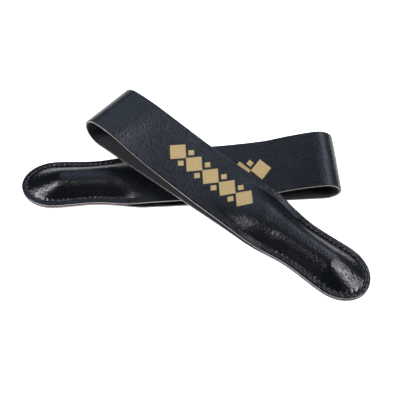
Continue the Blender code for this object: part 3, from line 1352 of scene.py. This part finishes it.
class Strap:
    """One strap: its leather, seam and foil, and the weight and felts inside it."""

    def __init__(self, name: str, lie: Lie, frame: dict[str, Any], finishes: Finishes) -> None:
        """Finds the strap's place from its pocket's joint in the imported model.

        Args:
            name: "lower" or "upper".
            lie: how it lies.
            frame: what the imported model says.
            finishes: the materials.
        """
        self.name, self.nodes, self.finishes = name, frame["nodes"], finishes
        self.strip = Strip(lie)
        self.leather = LeatherMesh(self.strip)
        joint = next(j for j in frame["joints"] if j["name"] == f"{name}_pocket_bend")
        left = Vector(joint["axis"]).normalized()
        ahead = left.cross(Vector((0, 0, 1)))
        bend = self.strip.outline.bend
        hinge = Vector(joint["pos_m"])
        tip = hinge - ahead * bend
        tip.z = hinge.z - (self.strip.plane(bend, 0) + self.strip.margin + self.strip.hinge_rise)
        turn = Matrix((ahead, left, (0, 0, 1))).transposed().to_4x4()
        self.place = Matrix.Translation(tip) @ turn

    def at(self, s: float, t: float, z: float) -> Vector:
        """A point of the strap's own frame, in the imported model's frame."""
        return self.place @ Vector((s, t, z))

    def add(self, name: str, mesh: bpy.types.Mesh, stands_for: list[str], slot: str) -> bpy.types.Object:
        """Puts a finished mesh in the scene.

        Args:
            name: the piece's name, after the strap's.
            mesh: its mesh, in the strap's own frame.
            stands_for: the nodes it replaces, after the strap's name.
            slot: the record's material slot; not used.

        Returns:
            The piece, with its place in its mesh.
        """
        mesh.transform(self.place)
        piece = bpy.data.objects.new(f"{self.name}_{name}", mesh)
        bpy.context.scene.collection.objects.link(piece)
        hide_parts(*(f"{self.name}_{node}" for node in stands_for))
        LOG.info("%s: %d faces", piece.name, len(mesh.polygons))
        return piece

    def bend_with_pocket(self, piece: bpy.types.Object) -> None:
        """Bakes a piece's place into its mesh."""
        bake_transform(piece)

    def bend_with_loop(self, piece: bpy.types.Object) -> None:
        """Works out two points on the legs' middle line, which are not used, and bakes the piece's place
        into its mesh.
        """
        strip, outline = self.strip, self.strip.outline
        for share in (0.15, 1.0):
            s = outline.bend + share * (outline.fold - outline.bend)
            Vector((s, 0, (strip.top(s, 0) + strip.bottom(s, 0)) / 2))
        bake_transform(piece)

    def build_leather(self) -> None:
        """Makes the pocket's two panels and the loop's two legs with their fold."""
        meshes = build_strip_leather(self.leather, self.name)
        for mesh in meshes.values():
            for finish in (self.finishes.grain, self.finishes.cut_edge, self.finishes.flesh):
                mesh.materials.append(finish)
        panels, legs = ["front_panel", "back_panel"], ["bottom_leg", "top_leg"]
        pocket = self.add("pocket_leather", meshes[Region.POCKET], panels, "black_leather")
        self.bend_with_pocket(pocket)
        loop = self.add("loop_leather", meshes[Region.LOOP], legs, "black_leather")
        self.bend_with_loop(loop)

    def build_seam(self) -> None:
        """Makes the stitches on both faces of the pocket."""
        seam = Seam()
        shape = seam.shape()
        for layer, thread in ((Layer.FRONT, "needle"), (Layer.BACK, "bobbin")):
            line = bpy.data.curves.new(f"{thread}_line", "CURVE")
            line.dimensions = "3D"
            points = seam.line(self.leather, layer)
            spline = line.splines.new("POLY")
            spline.points.add(len(points) - 1)
            for target, point in zip(spline.points, points):
                target.co = (*point, 1)
            guide = bpy.data.objects.new(f"{self.name}_{thread}_line", line)
            bpy.context.scene.collection.objects.link(guide)
            way = 1 if layer is Layer.FRONT else -1
            sizes = {
                "Stitches": self.leather.stitches(),
                "Reach": seam.reach,
                "Radius": seam.radius,
                "Arch": seam.arch * way,
                "Bury": seam.bury * way,
                "Slant": seam.slant * way,
                "Thread": self.finishes.thread,
            }
            mesh = shape.mesh(guide, sizes, f"{self.name}_{thread}_stitches")
            tidy_closed(mesh)
            piece = self.add(f"{thread}_stitches", mesh, [f"{thread}_thread"], "black_thread")
            self.bend_with_pocket(piece)

    def build_foil(self) -> None:
        """Makes the foil print and lays it on the top leg."""
        foil = FoilRow(self.strip.lie.foil_station)
        shape = foil.shape()
        bm = bmesh.new()
        for count, size, start in foil.rows():
            holder = bpy.data.objects.new("foil_row", bpy.data.meshes.new("foil_row"))
            bpy.context.scene.collection.objects.link(holder)
            values = {
                "Count": count,
                "Pitch": foil.length,
                "Size": size,
                "Start": start,
                "Splits": foil.splits,
                "Foil": self.finishes.foil,
            }
            bm.from_mesh(shape.mesh(holder, values, "foil_row"))
        for vert in bm.verts:
            s, t = vert.co.x, vert.co.y
            vert.co = self.strip.point(s, t) + self.strip.normal(s, t) * foil.film / 4
        bmesh.ops.recalc_face_normals(bm, faces=bm.faces)
        if sum(face.normal.z for face in bm.faces) < 0:
            bmesh.ops.reverse_faces(bm, faces=bm.faces)
        bmesh.ops.solidify(bm, geom=bm.faces, thickness=-foil.film)
        bmesh.ops.recalc_face_normals(bm, faces=bm.faces)
        mesh = bpy.data.meshes.new(f"{self.name}_foil")
        bm.to_mesh(mesh)
        bm.free()
        mesh.materials.append(self.finishes.foil)
        piece = self.add("foil_print", mesh, ["foil_motif"], "gold_foil")
        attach(piece, f"{self.name}_loop")

    def dress_insert(self) -> None:
        """Gives the weight and its felts their finishes."""
        for node, finish in (
            ("weight", self.finishes.steel),
            ("back_felt", self.finishes.felt),
            ("front_felt", self.finishes.felt),
        ):
            mesh = self.nodes[f"{self.name}_{node}"].data
            mesh.materials.clear()
            mesh.materials.append(finish)
            LOG.info("%s_%s: dressed", self.name, node)

    def build(self) -> None:
        """Makes every piece of the strap."""
        self.build_leather()
        self.build_seam()
        self.build_foil()
        self.dress_insert()


def tidy_closed(mesh: bpy.types.Mesh) -> None:
    """Turns the faces of closed shells outwards and shades them smooth.

    Args:
        mesh: the mesh, changed in place.
    """
    bm = bmesh.new()
    bm.from_mesh(mesh)
    bmesh.ops.recalc_face_normals(bm, faces=bm.faces)
    for face in bm.faces:
        face.smooth = True
    bm.to_mesh(mesh)
    bm.free()


# ---------------------------------------------------------------- the studio


@dataclass(frozen=True)
class Softbox:
    """One soft light, aimed at the straps."""

    name: str
    azimuth: float
    elevation: float
    distance: float
    size: Pair
    power: float
    tint: str = "FFFFFF"


@dataclass(frozen=True)
class Studio:
    """The floor, the lights, the backdrop's light and the camera."""

    target: Triple = (0.006438, -0.000322, 0.0)
    camera_elevation: float = 56.0
    camera_distance: float = 0.4737
    lens: float = 69.0
    floor_size: float = 40.0
    skirting: Pair = (0.02, 0.1)
    skirting_light: float = 0.9
    ambient: float = 0.03
    floor_glow: float = 0.9
    softboxes: tuple[Softbox, ...] = (
        Softbox("back", 22, 41, 1.0, (1.4, 0.42), 2.3, "CEE1FF"),
        Softbox("left", -12, 50, 1.0, (0.5, 0.3), 1.1, "CEE1FF"),
        Softbox("high", 52, 52, 1.0, (0.36, 0.22), 2.4, "E4EAFF"),
        Softbox("key", 104, 48, 1.0, (0.24, 0.4), 7.5, "FFFAFF"),
        Softbox("side", -98, 51, 1.0, (0.26, 0.38), 10.0, "FFFAFF"),
    )

    def direction(self, azimuth: float, elevation: float) -> Vector:
        """The way to a light: azimuth 0 is +Y and 90 is +X.

        Args:
            azimuth: in degrees.
            elevation: in degrees over the floor.

        Returns:
            A unit vector from the straps.
        """
        turn, rise = math.radians(azimuth), math.radians(elevation)
        return Vector(
            (math.sin(turn) * math.cos(rise), math.cos(turn) * math.cos(rise), math.sin(rise))
        )

    def build_floor(self) -> None:
        """Lays a plain white floor."""
        bm = bmesh.new()
        bmesh.ops.create_grid(bm, x_segments=1, y_segments=1, size=self.floor_size / 2)
        mesh = bpy.data.meshes.new("floor")
        bm.to_mesh(mesh)
        bm.free()
        made, tree = new_material("white_sweep")
        glow = {"Emission Color": linear("FFFFFF"), "Emission Strength": self.floor_glow}
        finish_with(tree, {"Base Color": linear("E8E8E8"), "Roughness": 0.9, **glow})
        mesh.materials.append(made)
        floor = bpy.data.objects.new("floor", mesh)
        floor.location.z = -0.05 * MM
        bpy.context.scene.collection.objects.link(floor)

    def build_lights(self) -> None:
        """Hangs the softboxes and sets the room's own light."""
        for box in self.softboxes:
            lamp = bpy.data.lights.new(box.name, "AREA")
            lamp.shape = "RECTANGLE"
            lamp.size, lamp.size_y = box.size
            lamp.energy = box.power
            lamp.color = linear(box.tint)[:3]
            holder = bpy.data.objects.new(box.name, lamp)
            way = self.direction(box.azimuth, box.elevation)
            holder.location = Vector(self.target) + way * box.distance
            holder.rotation_euler = way.to_track_quat("Z", "Y").to_euler()
            bpy.context.scene.collection.objects.link(holder)
        world = bpy.data.worlds.new("room")
        world.use_nodes = True
        tree, room = world.node_tree, world.node_tree.nodes["Background"]
        way = add_node(tree, "ShaderNodeTexCoord").outputs["Generated"]
        rise = add_node(tree, "ShaderNodeSeparateXYZ", {}, {"Vector": way}).outputs["Z"]
        low, high = self.skirting
        light = add_node(
            tree,
            "ShaderNodeMapRange",
            {"interpolation_type": "SMOOTHSTEP"},
            {
                "Value": rise,
                "From Min": low,
                "From Max": high,
                "To Min": self.skirting_light,
                "To Max": self.ambient,
            },
        )
        room.inputs["Color"].default_value = linear("FFFFFF")
        tree.links.new(light.outputs["Result"], room.inputs["Strength"])
        bpy.context.scene.world = world

    def build_camera(self) -> None:
        """Sets up the camera."""
        camera = bpy.data.cameras.new("camera")
        camera.lens = self.lens
        camera.sensor_width = 36.0
        holder = bpy.data.objects.new("camera", camera)
        way = self.direction(180, self.camera_elevation)
        holder.location = Vector(self.target) + way * self.camera_distance
        holder.rotation_euler = way.to_track_quat("Z", "Y").to_euler()
        bpy.context.scene.collection.objects.link(holder)
        bpy.context.scene.camera = holder

    def build(self) -> None:
        """Builds the whole studio."""
        self.build_floor()
        self.build_lights()
        self.build_camera()
        bpy.context.scene.view_settings.view_transform = "Standard"


def main() -> None:
    """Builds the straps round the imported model, and the studio."""
    logging.basicConfig(level=logging.INFO, format="%(name)s: %(message)s")
    for obj in list(bpy.data.objects):
        bpy.data.objects.remove(obj)
    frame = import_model()
    Studio().build()
    finishes = Finishes.build()
    for name, lie in (("lower", LOWER_LIE), ("upper", UPPER_LIE)):
        Strap(name, lie, frame, finishes).build()


if __name__ == "__main__":
    main()
